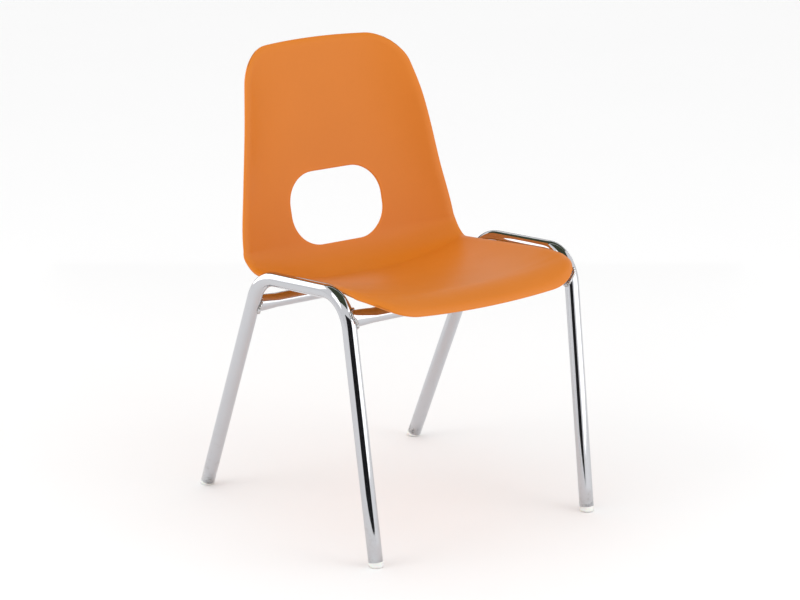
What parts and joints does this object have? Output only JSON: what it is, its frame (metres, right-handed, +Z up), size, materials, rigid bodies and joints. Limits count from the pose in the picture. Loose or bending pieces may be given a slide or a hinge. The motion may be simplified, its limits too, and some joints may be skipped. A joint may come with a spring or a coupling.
{
  "type": "stacking chair",
  "caption": "Stacking chair: one moulded seat-and-back shell with a hand hold, on a bent-tube frame of two side hoops joined by cross rails.",
  "frame": {"origin": "middle of the overall footprint, at floor level", "axes": "+Z up from the floor; +Y to the rear of the chair, so that the sitter faces -Y; +X across the chair, to the sitter's left"},
  "size_m": [0.5028, 0.5386, 0.7888],
  "materials": {
    "shell_plastic": "satin moulded orange polypropylene, fine even grain",
    "tube_chrome": "bright chrome plate over steel tube",
    "weld_chrome": "chrome plate over a rippled weld bead",
    "foot_plastic": "milky natural polyethylene, lightly scuffed",
    "zinc_steel": "bright zinc-plated steel"
  },
  "bodies": {
    "root": {"seat_shell": "shell_plastic", "left_side_hoop": "tube_chrome", "right_side_hoop": "tube_chrome", "front_cross_rail": "tube_chrome", "rear_cross_rail": "tube_chrome", "front_left_weld": "weld_chrome", "front_left_foot": "foot_plastic", "front_left_shell_screw": "zinc_steel", "front_left_saddle_washer": "zinc_steel", "front_right_weld": "weld_chrome", "front_right_foot": "foot_plastic", "front_right_shell_screw": "zinc_steel", "front_right_saddle_washer": "zinc_steel", "rear_left_weld": "weld_chrome", "rear_left_foot": "foot_plastic", "rear_left_shell_screw": "zinc_steel", "rear_left_saddle_washer": "zinc_steel", "rear_right_weld": "weld_chrome", "rear_right_foot": "foot_plastic", "rear_right_shell_screw": "zinc_steel", "rear_right_saddle_washer": "zinc_steel"}
  },
  "joints": []
}
